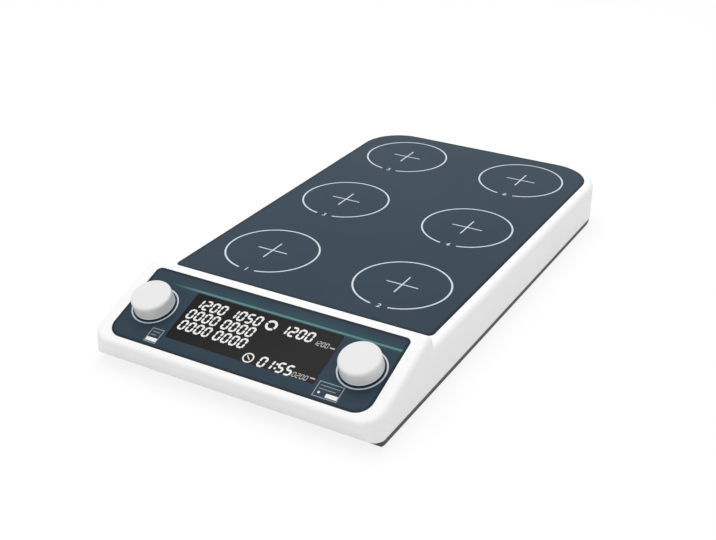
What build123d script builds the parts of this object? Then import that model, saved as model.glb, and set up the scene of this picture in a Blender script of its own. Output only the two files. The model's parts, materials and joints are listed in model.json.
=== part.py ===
from build123d import *
import os
from math import cos, radians, sin, tan

# Multi-position magnetic stirrer. Millimetres.
# The origin is on the table under the middle of the body: +X right, +Y to the rear, +Z up.

# Body
body_width = 254.0
body_length = 472.5
rim_height = 43.6
wall = 2.5
rear_corner_r = 46.0
front_corner_r = 20.0
front_foot_r = 9.0
edge_r = 4.5
foot_height = 4.0
pan_height = 5.0
fit_gap = 0.3
slide_gap = 0.05

# Raised console at the front
console_tilt = 20.15
lip_height = 24.3
console_length = 92.4
ridge_r = 5.0
ridge_wall_angle = 75.0
ridge_foot_r = 4.0

# Glass deck with six stirring places
glass_side_margin = 8.85
glass_front_margin = 11.07
glass_rear_margin = 7.3
glass_thickness = 4.0
glass_proud = 0.4
glass_bevel = 0.4
glass_front_r = 5.3
glass_corner_gap = 6.8
gasket_thickness = 1.0
ledge_width = 9.0
place_columns = 2
place_rows = 3
place_side_margin = 56.15
place_end_margin = 58.65
place_shift = 2.9

# Printed sheet, window and display on the console
overlay_thickness = 0.8
overlay_side_margin = 12.3
overlay_front_margin = 8.6
overlay_rear_margin = 9.6
overlay_front_r = 13.0
overlay_rear_r = 5.0
window_side_gap = 26.6
window_end_gap = 13.3
window_r = 1.0
window_shift = -0.9
window_ledge = 2.0
lcd_border = 4.0
lcd_thickness = 6.5
lcd_bevel = 0.6
lcd_sink = 0.4
board_thickness = 1.6
board_r = 2.0
board_hole_inset = 5.0
board_depth = 10.5
display_board_reach = 11.3
display_board_end_gap = 7.1
display_hole_gap = 14.7
display_hole_inset = 4.0
display_boss_r = 3.0
display_screw_length = 7.0
connector_width = 26.0
connector_length = 6.0
connector_height = 5.0
display_connector_shift = 18.0

# Knobs and push encoders
knob_side_margin = 22.0
knob_radius = 16.2
knob_height = 11.3
knob_gap = 1.0
knob_travel = 0.5
knob_draft = 0.3
knob_top_r = 2.0
knob_skirt = 2.2
knob_roof = 2.5
knob_bevel = 0.4
knob_hub_r = 5.0
knob_hub_rise = 0.5
knob_rib = 1.2
knob_rib_count = 6
knob_rib_rise = 3.0
knob_socket = 1.0
shaft_r = 3.0
shaft_flat = 1.0
shaft_tip_gap = 1.0
encoder_width = 13.4
encoder_height = 6.5
encoder_wall = 1.0
encoder_cavity_r = 5.2
encoder_bevel = 1.0
bush_r = 3.8
bush_length = 2.8
wheel_thickness = 1.5
shaft_floor_gap = 0.3

# Motors, their plate and the spinning magnets
plate_thickness = 2.0
plate_side_margin = 30.0
plate_end_margin = 24.0
plate_height = 24.0
plate_r = 6.0
plate_slot_width = 30.0
plate_slot_margin = 30.0
motor_r = 21.0
motor_height = 15.0
motor_boss_r = 6.0
motor_boss_rise = 0.5
motor_shoulder = 4.0
motor_floor = 2.0
motor_screw_circle = 14.0
motor_screw_count = 3
rotor_shaft_r = 2.5
rotor_end_gap = 0.5
rotor_seat_depth = 1.5
small_bevel = 0.3
holder_r = 28.0
holder_height = 9.0
holder_gap = 2.5
holder_web = 2.0
holder_hub_wall = 4.0
holder_hole_r = 5.0
holder_hole_inset = 9.0
magnet_r = 9.0
magnet_height = 6.0
magnet_spacing = 34.0

# Pan, feet and fasteners
pan_floor = 2.0
pan_inset = 0.5
pan_front_setback = 2.0
pan_front_wall = 6.0
pan_front_r = 8.0
pan_bevel = 4.0
lip_wall = 1.6
lip_rise = 3.0
lip_gap = 0.4
vent_width = 2.5
vent_length = 26.0
vent_pitch = 7.0
vent_count = 9
foot_r = 9.0
foot_seat = 0.8
foot_draft = 0.2
foot_bevel = 0.6
foot_side_margin = 35.0
foot_front_margin = 36.0
foot_rear_margin = 28.0
foot_bore_depth = 2.2
foot_boss_height = 6.0
boss_r = 4.0
bore_spare = 1.0
case_inset = 11.0
case_front_margin = 31.0
case_middle_spacing = 140.0
case_middle_shift = 10.0
case_corner_angle = 20.0
screw_r = 1.5
screw_head_r = 2.8
screw_head_height = 1.5
small_screw_r = 1.25
small_head_r = 2.2
plate_screw_length = 8.0
motor_screw_length = 5.0
board_screw_length = 4.0
case_screw_length = 10.0
foot_screw_length = 8.8
standoff_flats = 5.5
standoff_inset = 7.0
board_lift = 4.0

# Control board and power supply
control_side_margin = 47.0
control_length = 60.0
control_front_margin = 55.5
control_socket_shift = -4.0
processor_side = 14.0
processor_height = 2.0
processor_shift = 14.0
driver_width = 9.0
driver_length = 6.0
driver_height = 5.0
driver_side_margin = 25.0
driver_inset = 5.0
supply_motor_gap = 9.0
supply_length = 110.0
supply_rear_gap = 45.0
transformer_share = 0.4
transformer_length = 30.0
transformer_shift = -5.0
sink_thickness = 4.0
sink_length = 60.0
sink_inset = 8.0
sink_shift = 5.0
supply_part_height = 9.0
capacitor_share = 0.1
capacitor_shift = 32.0
supply_headroom = 3.0
lead_thickness = 0.9
lead_margin = 2.0
lead_bend_r = 2.0
lead_run = 5.0

# Recessed bay in the rear wall with the mains inlet and the switch
bay_side_margin = 5.0
bay_width = 92.0
bay_height = 23.5
bay_depth = 6.0
bay_z = 26.5
bay_r = 3.0
inlet_shift = -16.0
inlet_flange_width = 48.0
inlet_flange_height = 22.0
flange_thickness = 2.0
inlet_body_width = 27.2
inlet_body_height = 19.4
inlet_body_depth = 18.0
inlet_wall = 1.5
inlet_socket_depth = 15.5
socket_clip = 4.0
socket_r = 1.0
pin_width = 4.0
pin_thickness = 2.0
pin_recess = 5.2
pin_spacing = 14.0
pin_offset = 2.0
pin_tail = 8.0
pin_bevel = 0.4
inlet_screw_length = 7.5
inlet_screw_spacing = 40.0
switch_shift = 28.0
switch_flange_width = 15.0
switch_flange_height = 21.0
switch_body_width = 12.6
switch_body_height = 18.8
switch_body_depth = 14.0
switch_wall = 1.5
switch_flange_r = 1.5
switch_edge_r = 0.5
switch_floor = 2.0
rocker_width = 9.0
rocker_half = 7.5
rocker_foot_half = 5.0
rocker_angle = 12.0
rocker_depth = 2.5
rocker_rise = 1.8
rocker_pin_r = 1.0
rocker_pin_length = 1.2

# Levels and places that follow from the sizes above
tilt = radians(console_tilt)
pan_bottom = foot_height
pan_top = pan_bottom + pan_height
floor_top = pan_bottom + pan_floor
glass_top = rim_height + glass_proud
ledge_top = glass_top - glass_thickness - gasket_thickness
front_y = -body_length / 2 - edge_r * (sin(tilt) + cos(tilt) - 1)
front_edge = (front_y, lip_height)
ridge = (front_y + console_length * cos(tilt), lip_height + console_length * sin(tilt))
ridge_foot = (ridge[0] + (ridge[1] - rim_height) / tan(radians(ridge_wall_angle)), rim_height)
glass_front_y = ridge_foot[0] + glass_front_margin
glass_rear_y = body_length / 2 - glass_rear_margin
glass_y = (glass_front_y + glass_rear_y) / 2
glass_width = body_width - 2 * glass_side_margin
glass_length = glass_rear_y - glass_front_y
glass_rear_r = rear_corner_r - glass_corner_gap
column_pitch = (glass_width - 2 * place_side_margin) / (place_columns - 1)
row_pitch = (glass_length - 2 * place_end_margin) / (place_rows - 1)
grid_y = glass_y + place_shift
cover_front_y = front_y + (lip_height - pan_top) * tan(tilt)
bay_floor_y = body_length / 2 - bay_depth
control_y = front_y + control_front_margin + control_length / 2
control_width = body_width - 2 * control_side_margin
control_socket_y = control_y + control_socket_shift
supply_y = bay_floor_y - supply_rear_gap - supply_length / 2
supply_width = column_pitch - 2 * motor_r - 2 * supply_motor_gap
bay_x = rear_corner_r + bay_side_margin + bay_width / 2 - body_width / 2
inlet_x = bay_x + inlet_shift
switch_x = bay_x + switch_shift
motor_top = plate_height
motor_bottom = motor_top - motor_height
screw_seat = plate_height + plate_thickness
board_low = floor_top + board_lift
board_top = board_low + board_thickness
display_low = -board_depth - board_thickness
holder_top = glass_top - glass_thickness - holder_gap
holder_bottom = holder_top - holder_height
overlay_width = body_width - 2 * overlay_side_margin
overlay_length = console_length - overlay_front_margin - overlay_rear_margin
knob_spacing = overlay_width - 2 * knob_side_margin
window_width = knob_spacing - 2 * window_side_gap
window_length = overlay_length - 2 * window_end_gap
display_board_width = knob_spacing + 2 * display_board_reach
display_board_length = overlay_length - 2 * display_board_end_gap
display_hole_spacing = knob_spacing - 2 * display_hole_gap
shaft_top = knob_gap + knob_height - knob_roof - shaft_tip_gap
bush_low = -board_depth + encoder_height - encoder_wall
lcd_width = window_width + 2 * lcd_border
lcd_length = window_length + 2 * lcd_border
sides = (("left", -1), ("right", 1))

overlay_middle = overlay_front_margin + overlay_length / 2
console = Plane(
    origin=(0, front_y + overlay_middle * cos(tilt), lip_height + overlay_middle * sin(tilt)),
    x_dir=(1, 0, 0),
    z_dir=(0, -sin(tilt), cos(tilt)),
)

case_turn = radians(case_corner_angle)
case_corner = (
    body_width / 2 - rear_corner_r + (rear_corner_r - case_inset) * cos(case_turn),
    body_length / 2 - rear_corner_r + (rear_corner_r - case_inset) * sin(case_turn),
)
case_side = body_width / 2 - case_inset
case_line = (
    (case_side, case_front_margin - body_length / 2),
    (case_side, case_middle_shift - case_middle_spacing / 2),
    (case_side, case_middle_shift + case_middle_spacing / 2),
    case_corner,
)
case_points = [(side * x, y) for side in (-1, 1) for x, y in case_line]
foot_rows = (
    ("front", foot_front_margin - body_length / 2),
    ("rear", body_length / 2 - foot_rear_margin),
)
foot_points = {
    f"foot_{end}_{name}": (side * (body_width / 2 - foot_side_margin), y)
    for end, y in foot_rows
    for name, side in sides
}
place_points = [
    ((column - (place_columns - 1) / 2) * column_pitch, grid_y + (row - (place_rows - 1) / 2) * row_pitch)
    for row in range(place_rows)
    for column in range(place_columns)
]
plate_width = (place_columns - 1) * column_pitch + 2 * plate_side_margin
plate_length = (place_rows - 1) * row_pitch + 2 * plate_end_margin
standoff_end = plate_length / 2 - standoff_inset
standoff_points = [
    (side * (plate_width / 2 - standoff_inset), grid_y + y)
    for side in (-1, 1)
    for y in (-standoff_end, -row_pitch / 2, row_pitch / 2, standoff_end)
]
motor_screw_angles = [90 + 360 / motor_screw_count * i for i in range(motor_screw_count)]


def board_corners(width, length, y):
    """Screw places near the corners of a board."""
    x = width / 2 - board_hole_inset
    reach = length / 2 - board_hole_inset
    return [(sx * x, y + sy * reach) for sx in (-1, 1) for sy in (-1, 1)]


board_points = board_corners(control_width, control_length, control_y)
board_points += board_corners(supply_width, supply_length, supply_y)
display_reach = display_board_length / 2 - display_hole_inset
display_points = [(sx * display_hole_spacing / 2, sy * display_reach) for sx in (-1, 1) for sy in (-1, 1)]


def tapered_outline(width, front, rear, front_r, rear_r):
    """A plan outline with small corners at the front and large ones at the rear."""
    half = width / 2
    outline = make_face(Polyline((-half, front), (half, front), (half, rear), (-half, rear), close=True))
    outline = fillet(outline.vertices().group_by(Axis.Y)[0], front_r)
    return fillet(outline.vertices().group_by(Axis.Y)[-1], rear_r)


def glass_outline(grow=0.0):
    """The plan outline of the glass, grown or shrunk evenly."""
    return tapered_outline(
        glass_width + 2 * grow,
        glass_front_y - grow,
        glass_rear_y + grow,
        max(glass_front_r + grow, 1.0),
        glass_rear_r + grow,
    )


def overlay_outline(grow=0.0):
    """The outline of the printed sheet, on the console plane."""
    half = overlay_length / 2 + grow
    front_r = overlay_front_r + grow
    return tapered_outline(overlay_width + 2 * grow, -half, half, front_r, overlay_rear_r + grow)


def view_opening():
    """The part of the display that shows through the window, on the console plane."""
    opening = Rectangle(window_width - 2 * window_ledge, window_length - 2 * window_ledge)
    return Pos(0, window_shift) * opening


def slab(outline, low, high):
    """An outline raised into a plate between two levels."""
    return extrude(Pos(0, 0, low) * outline, amount=high - low, dir=(0, 0, 1))


def post(x, y, low, high, radius):
    """An upright cylinder between two levels."""
    return Pos(x, y, (low + high) / 2) * Cylinder(radius, high - low)


def posts(points, low, high, radius):
    """One upright cylinder at each point."""
    return [post(x, y, low, high, radius) for x, y in points]


def turned(points):
    """A solid turned about the Z axis from half of its section."""
    return revolve(Plane.XZ * make_face(Polyline(*points, close=True)), Axis.Z)


def cover_profile(bottom):
    """Side profile of the cover: front face, sloped console, ridge, deck and rear wall."""
    rear = body_length / 2
    points = [
        (front_y + (lip_height - bottom) * tan(tilt), bottom),
        front_edge,
        ridge,
        ridge_foot,
        (rear, rim_height),
        (rear, bottom),
    ]
    profile = Plane.YZ * make_face(Polyline(*points, close=True))
    wall_angle = radians(ridge_wall_angle)
    wall_left = (ridge[1] - rim_height) / sin(wall_angle) - ridge_r * tan((tilt + wall_angle) / 2)
    foot_r = min(ridge_foot_r, (wall_left - slide_gap) / tan(wall_angle / 2))
    profile = fillet(profile.vertices().sort_by_distance((0, *ridge))[0], ridge_r)
    return fillet(profile.vertices().sort_by_distance((0, *ridge_foot))[0], foot_r)


def top_edges(form, bottom):
    """The closed chain of edges where the top of the cover turns down into its walls."""
    front_face = Vector(0, -sin(tilt), cos(tilt))
    box = form.bounding_box()
    chain = []
    for edge in form.edges():
        run = (edge @ 1 - edge @ 0).normalized()
        straight = edge.geom_type == GeomType.LINE
        low = max((edge @ 0).Z, (edge @ 1).Z) < bottom + 0.01
        upright = straight and max(abs(run.Z), abs(run.dot(front_face))) > 0.999
        across = straight and abs(run.X) > 0.999
        inner = across and front_y + 2 * wall < (edge @ 0.5).Y < box.max.Y - 1
        if not (low or upright or inner):
            chain.append(edge)
    return chain


def corner_cut(side, level, inset):
    """What a front corner of the cover loses at one level, where its radius grows upwards."""
    rise = (level - pan_top) / (lip_height - pan_top)
    radius = front_foot_r + (front_corner_r - front_foot_r) * rise - inset
    front = front_y + (lip_height - level) * tan(tilt) + inset / cos(tilt)
    half = body_width / 2 - inset
    outline = make_face(
        Polyline(
            (half - radius, front - edge_r),
            (half + edge_r, front - edge_r),
            (half + edge_r, front + radius),
            (half - radius, front + radius),
            close=True,
        )
    )
    outline -= Pos(half - radius, front + radius) * Circle(radius)
    return Pos(0, 0, level) * (mirror(outline, Plane.YZ) if side < 0 else outline)


def cover_form(inset=0.0):
    """The outer form of the cover, or the hollow inside it when inset."""
    bottom = pan_top - (2 * inset)
    profile = cover_profile(bottom)
    if inset:
        profile = offset(profile, -inset, kind=Kind.INTERSECTION)
    half = body_width / 2 - inset
    form = extrude(Pos(-half, 0, 0) * profile, amount=2 * half, dir=(1, 0, 0))
    form = fillet(form.edges().filter_by(Axis.Z), rear_corner_r - inset)
    for side in (-1, 1):
        sections = [corner_cut(side, level, inset) for level in (bottom - 1, rim_height)]
        form -= loft(sections, ruled=True)
    return fillet(top_edges(form, form.bounding_box().min.Z), edge_r - inset)


def make_top_housing():
    """White cover: thin walls, glass pocket and ledge, overlay recess, bosses and rear bay."""
    outside = cover_form()
    housing = outside - cover_form(wall)
    tray = slab(glass_outline(fit_gap + wall), ledge_top - wall, rim_height)
    bosses = posts(case_points, floor_top, rim_height + wall, boss_r)
    board_bosses = posts(display_points, -board_depth, -wall / 2, display_boss_r)
    bay = Pos(bay_x, body_length / 2 - bay_depth / 2, bay_z) * Box(
        bay_width + 2 * wall, bay_depth + 2 * wall, bay_height + 2 * wall
    )
    board_bosses = [console * boss for boss in board_bosses]
    housing += [outside & solid for solid in (tray, bay, *bosses, *board_bosses)]
    housing -= slab(glass_outline(fit_gap), ledge_top, glass_top)
    housing -= slab(glass_outline(-ledge_width), floor_top, glass_top)
    case_bore_top = pan_bottom + case_screw_length + bore_spare
    housing -= posts(case_points, floor_top - 1, case_bore_top, screw_r + slide_gap)
    housing -= console * slab(overlay_outline(fit_gap / 2), -overlay_thickness, 2 * wall)
    housing -= console * slab(view_opening(), -2 * wall, wall)
    for _, side in sides:
        housing -= console * post(side * knob_spacing / 2, 0, -2 * wall, wall, bush_r + fit_gap)
    bore_top = display_low + display_screw_length + bore_spare
    for x, y in display_points:
        housing -= console * post(x, y, display_low, bore_top, small_screw_r + slide_gap)
    return housing - rear_cuts()


def rear_cuts():
    """The bay in the rear wall and the cut-outs for the inlet and the switch."""
    outline = Rectangle(bay_width, bay_height)
    outline = fillet(outline.vertices(), bay_r)
    cuts = [rear_plane(bay_x) * slab(outline, 0, bay_depth + wall)]
    for x, width, height in (
        (inlet_x, inlet_body_width, inlet_body_height),
        (switch_x, switch_body_width, switch_body_height),
    ):
        cuts.append(Pos(x, bay_floor_y, bay_z) * Box(width + fit_gap, 4 * wall, height + fit_gap))
    for side in (-1, 1):
        hole = Cylinder(screw_r + slide_gap, 4 * wall, rotation=(90, 0, 0))
        cuts.append(Pos(inlet_x + side * inlet_screw_spacing / 2, bay_floor_y, bay_z) * hole)
    return cuts


def pan_outline(inset, front_inset, front_r):
    """Plan outline of the pan or of its locating lip."""
    return tapered_outline(
        body_width - 2 * inset,
        cover_front_y + front_inset,
        body_length / 2 - inset,
        front_r,
        rear_corner_r - inset,
    )


def make_base_pan():
    """Dark pan: floor, side strip with a bevelled front, locating lip, foot seats and vents."""
    pan = slab(pan_outline(pan_inset, pan_front_setback, pan_front_r), pan_bottom, pan_top)
    inner = pan_outline(pan_inset + wall, pan_front_setback + pan_front_wall, pan_front_r)
    pan -= slab(inner, floor_top, pan_top + lip_rise)
    lip_front = wall / cos(tilt) + lip_gap
    lip_out = wall + lip_gap
    lip = slab(pan_outline(lip_out, lip_front, pan_front_r), pan_top - 1, pan_top + lip_rise)
    lip_in = pan_outline(lip_out + lip_wall, lip_front + lip_wall, pan_front_r - lip_wall)
    pan += lip - slab(lip_in, floor_top, pan_top + 2 * lip_rise)
    edge = cover_front_y + pan_front_setback
    bevel = Plane.YZ * make_face(
        Polyline(
            (edge - pan_bevel, pan_bottom - pan_bevel),
            (edge + 2 * pan_bevel, pan_bottom - pan_bevel),
            (edge - pan_bevel, pan_bottom + 2 * pan_bevel),
            close=True,
        )
    )
    pan -= extrude(Pos(-body_width / 2, 0, 0) * bevel, amount=body_width, dir=(1, 0, 0))
    foot_boss_top = floor_top + foot_boss_height
    pan += posts(foot_points.values(), floor_top - 1, foot_boss_top, boss_r)
    pan -= posts(foot_points.values(), pan_bottom - 1, foot_boss_top + 1, screw_r + slide_gap)
    pan -= posts(foot_points.values(), pan_bottom - 1, pan_bottom + foot_seat, foot_r + slide_gap)
    pan -= posts(case_points, pan_bottom - 1, floor_top + 1, screw_r + slide_gap)
    pan -= [countersink(x, y) for x, y in case_points]
    return pan - vents()


def countersink(x, y, gap=slide_gap):
    """Cone for a flat screw head that sits flush with the underside of the pan."""
    depth = screw_head_height
    cone = Cone(screw_head_r + gap, screw_r + gap, depth)
    return Pos(x, y, pan_bottom + depth / 2) * cone


def vents():
    """Rows of slots in the pan under the two circuit boards."""
    slots = []
    slot = SlotOverall(vent_length, vent_width)
    for y in (control_y, supply_y):
        for i in range(vent_count):
            x = (i - (vent_count - 1) / 2) * vent_pitch
            slots.append(Pos(x, y) * slab(Rot(0, 0, 90) * slot, pan_bottom - 1, floor_top + 1))
    return slots


def make_deck_glass():
    """Flat glass plate with a fine ground edge."""
    glass = slab(glass_outline(), glass_top - glass_thickness, glass_top)
    return chamfer(glass.edges().group_by(Axis.Z)[-1], glass_bevel)


def make_deck_gasket():
    """Flat seal between the glass and its ledge."""
    ring = glass_outline(-fit_gap) - glass_outline(fit_gap - ledge_width)
    return slab(ring, ledge_top, ledge_top + gasket_thickness)


def make_console_overlay():
    """Printed sheet in the console recess, open at the window and at the knobs."""
    sheet = slab(overlay_outline(), -overlay_thickness, 0)
    window = fillet(Rectangle(window_width, window_length).vertices(), window_r)
    sheet -= Pos(0, window_shift) * slab(window, -wall, wall)
    for _, side in sides:
        sheet -= post(side * knob_spacing / 2, 0, -wall, wall, bush_r + 2 * fit_gap)
    return console * sheet


def make_display_window():
    """Clear lens that fills the window of the overlay."""
    pane = fillet(Rectangle(window_width - fit_gap, window_length - fit_gap).vertices(), window_r)
    return console * Pos(0, window_shift) * slab(pane, -overlay_thickness, 0)


def make_lcd_module():
    """Display: glass in a pressed frame whose rim stands round the viewing area."""
    low = -wall - lcd_thickness
    module = Pos(0, window_shift) * slab(Rectangle(lcd_width, lcd_length), low, -wall)
    module = chamfer(module.edges().group_by(Axis.Z)[-1], lcd_bevel)
    return console * (module - slab(view_opening(), -wall - lcd_sink, 0))


def make_display_board():
    """Circuit board behind the console with the socket of the flat lead."""
    outline = fillet(Rectangle(display_board_width, display_board_length).vertices(), board_r)
    board = slab(outline, display_low, -board_depth)
    board -= posts(display_points, display_low - 1, 0, small_screw_r + fit_gap)
    socket = Rectangle(connector_width, connector_length)
    board += Pos(0, display_connector_shift) * slab(socket, display_low - connector_height, display_low)
    return console * board


def make_display_screws():
    """Screws that hold the display board to the bosses of the cover."""
    screws = []
    for x, y in display_points:
        head = post(x, y, display_low - screw_head_height, display_low, small_head_r)
        shank = post(x, y, display_low, display_low + display_screw_length, small_screw_r)
        screws.append(console * (head + shank))
    return screws


def shaft_section(radius, flat):
    """Round section with one flat."""
    cut = Pos(0, 2 * radius - flat) * Rectangle(4 * radius, 2 * radius)
    return Circle(radius) - cut


def make_encoder(side):
    """Body of a push encoder with its bush, hollow for the contact wheel."""
    low = -board_depth
    high = low + encoder_height
    body = slab(Rectangle(encoder_width, encoder_width), low, high)
    body = chamfer(body.edges().filter_by(Axis.Z), encoder_bevel)
    body += post(0, 0, high, high + bush_length, bush_r)
    body -= post(0, 0, low + encoder_wall, bush_low, encoder_cavity_r)
    body -= post(0, 0, low + encoder_wall, high + bush_length, shaft_r + slide_gap)
    return console * Pos(side * knob_spacing / 2, 0) * body


def make_encoder_wheel(side):
    """Contact wheel that turns with the shaft and lets it slide through."""
    high = bush_low - fit_gap
    ring = Circle(encoder_cavity_r - fit_gap) - shaft_section(shaft_r + slide_gap, shaft_flat)
    return console * Pos(side * knob_spacing / 2, 0) * slab(ring, high - wheel_thickness, high)


def make_knob_shaft(side):
    """Shaft with a flat below for the contact wheel and above for the knob."""
    low = -board_depth + encoder_wall + knob_travel + shaft_floor_gap
    flat_top = bush_low + knob_travel
    knob_flat = knob_gap + knob_socket
    shaft = post(0, 0, flat_top, knob_flat, shaft_r)
    shaft += slab(shaft_section(shaft_r, shaft_flat), low, flat_top)
    shaft += slab(shaft_section(shaft_r, shaft_flat), knob_flat, shaft_top)
    return console * Pos(side * knob_spacing / 2, 0) * shaft


def make_knob(side):
    """Hollow round knob with a soft top edge, a hub with a flatted bore and ribs."""
    top = knob_gap + knob_height
    cap = Pos(0, 0, knob_gap + knob_height / 2) * Cone(knob_radius + knob_draft, knob_radius, knob_height)
    cap = fillet(cap.edges().group_by(Axis.Z)[-1], knob_top_r)
    cap = chamfer(cap.edges().group_by(Axis.Z)[0], knob_bevel)
    cap -= post(0, 0, knob_gap - 1, top - knob_roof, knob_radius - knob_skirt)
    cap += post(0, 0, knob_gap + knob_hub_rise, top - knob_roof, knob_hub_r)
    reach = knob_radius - knob_skirt / 2
    rib = slab(Pos(reach / 2, 0) * Rectangle(reach, knob_rib), knob_gap + knob_rib_rise, top - knob_roof / 2)
    cap += [Rot(0, 0, 360 / knob_rib_count * i) * rib for i in range(knob_rib_count)]
    bore = shaft_section(shaft_r + slide_gap / 2, shaft_flat)
    cap -= slab(bore, knob_gap + knob_socket, shaft_top + 2 * slide_gap)
    cap -= post(0, 0, knob_gap, knob_gap + knob_socket, shaft_r + slide_gap / 2)
    return console * Pos(side * knob_spacing / 2, 0) * cap


def make_motor_plate():
    """Metal plate that carries the motors, with a lightening slot along the middle."""
    outline = Pos(0, grid_y) * fillet(Rectangle(plate_width, plate_length).vertices(), plate_r)
    plate = slab(outline, plate_height, screw_seat)
    plate -= [post(x, y, 0, rim_height, motor_boss_r + fit_gap / 2) for x, y in place_points]
    plate -= posts(standoff_points, 0, rim_height, screw_r + slide_gap)
    plate -= posts(motor_screw_points(), 0, rim_height, small_screw_r + slide_gap)
    slot = SlotOverall(plate_length - 2 * plate_slot_margin, plate_slot_width)
    return plate - Pos(0, grid_y) * slab(Rot(0, 0, 90) * slot, 0, rim_height)


def motor_screw_points():
    """Places of the screws on the circle round each motor shaft."""
    points = []
    for x, y in place_points:
        for angle in motor_screw_angles:
            turn = radians(angle)
            points.append((x + motor_screw_circle * cos(turn), y + motor_screw_circle * sin(turn)))
    return points


def make_motor(x, y):
    """Flat motor: stepped can, raised boss through the plate and a bore for the shaft."""
    boss_top = screw_seat + motor_boss_rise
    can = turned(
        [
            (0, motor_bottom),
            (motor_r - motor_shoulder, motor_bottom),
            (motor_r, motor_bottom + motor_shoulder),
            (motor_r, motor_top),
            (motor_boss_r, motor_top),
            (motor_boss_r, boss_top),
            (0, boss_top),
        ]
    )
    can -= post(0, 0, motor_bottom + motor_floor, boss_top + 1, rotor_shaft_r + slide_gap)
    bore_low = screw_seat - motor_screw_length - bore_spare
    for angle in motor_screw_angles:
        hole = post(motor_screw_circle, 0, bore_low, motor_top + 1, small_screw_r + slide_gap)
        can -= Rot(0, 0, angle) * hole
    return Pos(x, y) * can


def make_rotor_shaft(x, y):
    """Steel shaft from inside the motor into the magnet holder."""
    low = motor_bottom + motor_floor + rotor_end_gap
    shaft = post(x, y, low, holder_top - rotor_seat_depth, rotor_shaft_r)
    return chamfer(shaft.edges().filter_by(GeomType.CIRCLE), small_bevel)


def make_magnet_holder(x, y):
    """Moulded disc with a hub, a thinned web and two magnet pockets."""
    pocket_floor = holder_top - magnet_height
    web_bottom = pocket_floor - holder_web
    hub_r = rotor_shaft_r + holder_hub_wall
    holder = turned(
        [
            (0, holder_bottom),
            (hub_r, holder_bottom),
            (hub_r, web_bottom),
            (holder_r, web_bottom),
            (holder_r, holder_top),
            (0, holder_top),
        ]
    )
    for side in (-1, 1):
        pocket = post(0, side * magnet_spacing / 2, pocket_floor, holder_top + 1, magnet_r + slide_gap)
        hole = post(side * (holder_r - holder_hole_inset), 0, holder_bottom, holder_top + 1, holder_hole_r)
        holder -= [pocket, hole]
    bore_top = holder_top - rotor_seat_depth + 2 * slide_gap
    holder -= post(0, 0, holder_bottom - 1, bore_top, rotor_shaft_r + slide_gap / 2)
    return Pos(x, y) * holder


def make_magnets(x, y):
    """The pair of disc magnets in one holder."""
    pair = []
    for side in (-1, 1):
        disc = post(x, y + side * magnet_spacing / 2, holder_top - magnet_height, holder_top, magnet_r)
        pair.append(chamfer(disc.edges().filter_by(GeomType.CIRCLE), small_bevel))
    return pair


def make_plate_standoffs():
    """Hexagonal posts between the pan and the motor plate."""
    section = RegularPolygon(standoff_flats / 2, 6, major_radius=False)
    bore_low = screw_seat - plate_screw_length - bore_spare
    standoffs = []
    for x, y in standoff_points:
        standoff = Pos(x, y) * slab(section, floor_top, plate_height)
        standoffs.append(standoff - post(x, y, bore_low, screw_seat, screw_r + slide_gap))
    return standoffs


def pan_head_screw(x, y, seat, length, radius, head_r):
    """Screw with a round head on a seat and its shank below it."""
    head = post(x, y, seat, seat + screw_head_height, head_r)
    return head + post(x, y, seat - length, seat, radius)


def make_plate_screws():
    """Screws on top of the plate, into the posts and into the motors."""
    screws = [
        pan_head_screw(x, y, screw_seat, plate_screw_length, screw_r, screw_head_r)
        for x, y in standoff_points
    ]
    screws += [
        pan_head_screw(x, y, screw_seat, motor_screw_length, small_screw_r, small_head_r)
        for x, y in motor_screw_points()
    ]
    return screws


def make_board(width, length, y):
    """Bare circuit board on its posts, with holes near its corners."""
    outline = Pos(0, y) * fillet(Rectangle(width, length).vertices(), board_r)
    board = slab(outline, board_low, board_top)
    return board - posts(board_corners(width, length, y), board_low - 1, board_top + 1, screw_r + slide_gap)


def block(x, y, width, length, height):
    """A component that stands on a board."""
    return Pos(x, y, board_top + height / 2) * Box(width, length, height)


def make_control_board():
    """Board with the processor, six drive chips in a row and the socket of the flat lead."""
    board = make_board(control_width, control_length, control_y)
    board += block(0, control_socket_y, connector_width, connector_length, connector_height)
    board += block(0, control_y + processor_shift, processor_side, processor_side, processor_height)
    driver_count = place_columns * place_rows
    driver_y = control_y + control_length / 2 - driver_inset
    driver_pitch = (control_width - 2 * driver_side_margin) / (driver_count - 1)
    for i in range(driver_count):
        x = (i - (driver_count - 1) / 2) * driver_pitch
        board += block(x, driver_y, driver_width, driver_length, driver_height)
    return board


def make_power_supply():
    """Board with a transformer, heat sink and capacitors."""
    board = make_board(supply_width, supply_length, supply_y)
    transformer_width = supply_width * transformer_share
    transformer_x = -transformer_width / 3
    capacitor_r = supply_width * capacitor_share
    sink_x = supply_width / 2 - sink_inset
    for x, y, width, length in (
        (transformer_x, transformer_shift, transformer_width, transformer_length),
        (sink_x, sink_shift, sink_thickness, sink_length),
    ):
        board += block(x, supply_y + y, width, length, supply_part_height)
    for side in (-1, 1):
        x = transformer_x + side * 1.5 * capacitor_r
        board += post(x, supply_y + capacitor_shift, board_top, plate_height - supply_headroom, capacitor_r)
    return board


def make_board_standoffs():
    """Short round posts under the two boards."""
    bore_low = board_top - board_screw_length - bore_spare
    return [
        post(x, y, floor_top, board_low, boss_r) - post(x, y, bore_low, board_top, screw_r + slide_gap)
        for x, y in board_points
    ]


def make_board_screws():
    """Screws that hold the two boards to their posts."""
    return [
        pan_head_screw(x, y, board_top, board_screw_length, screw_r, screw_head_r)
        for x, y in board_points
    ]


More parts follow.
